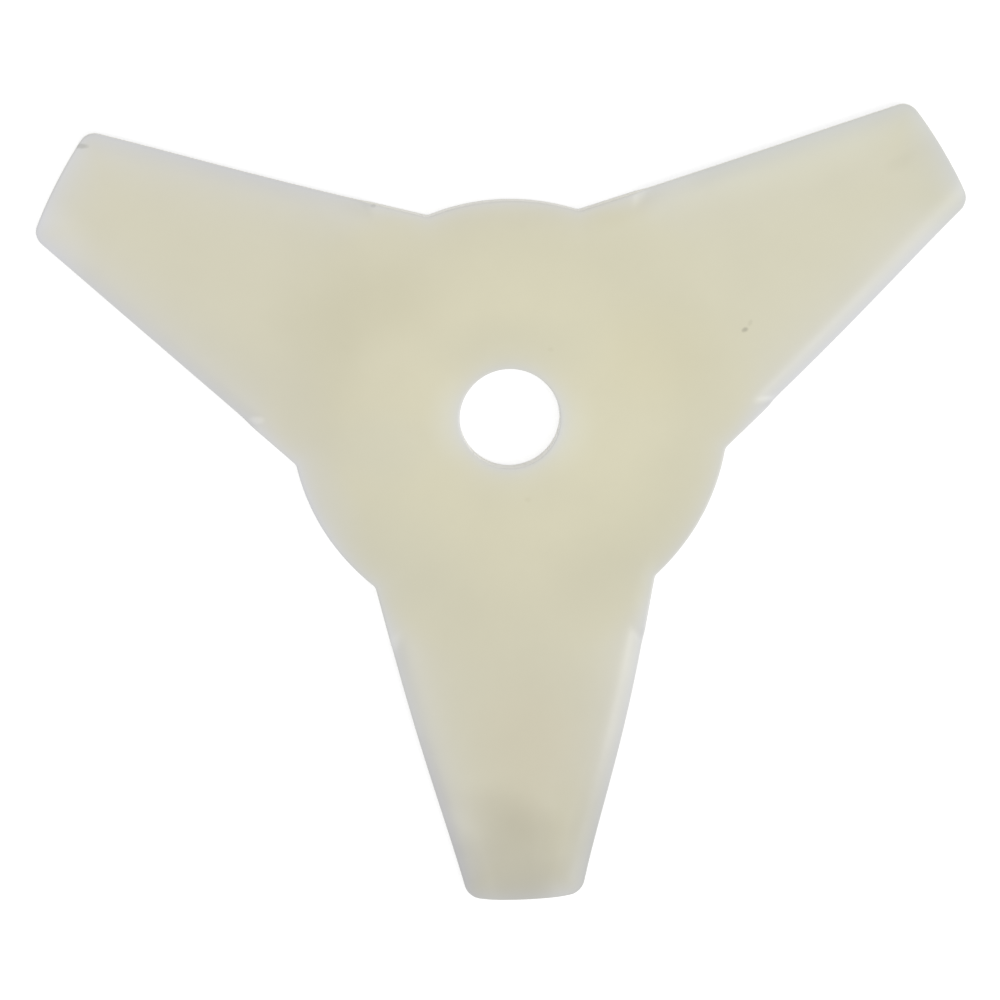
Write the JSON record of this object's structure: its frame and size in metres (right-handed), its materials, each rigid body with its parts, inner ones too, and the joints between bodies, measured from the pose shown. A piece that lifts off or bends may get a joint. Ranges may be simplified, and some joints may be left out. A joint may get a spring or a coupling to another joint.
{
  "type": "brush cutter blade",
  "caption": "Flat moulded nylon brush cutter blade: a round hub with a central bore and tapering arms with bevelled cutting edges.",
  "frame": {"origin": "on the bore's axis at the plate's mid-thickness", "axes": "+Z along the bore's axis out of the upper face, -Y along one arm's centre line"},
  "size_m": [0.2326, 0.2031, 0.005],
  "materials": {
    "nylon": "satin ivory nylon, paler along its thin edges"
  },
  "bodies": {
    "root": {"blade": "nylon"}
  },
  "joints": []
}
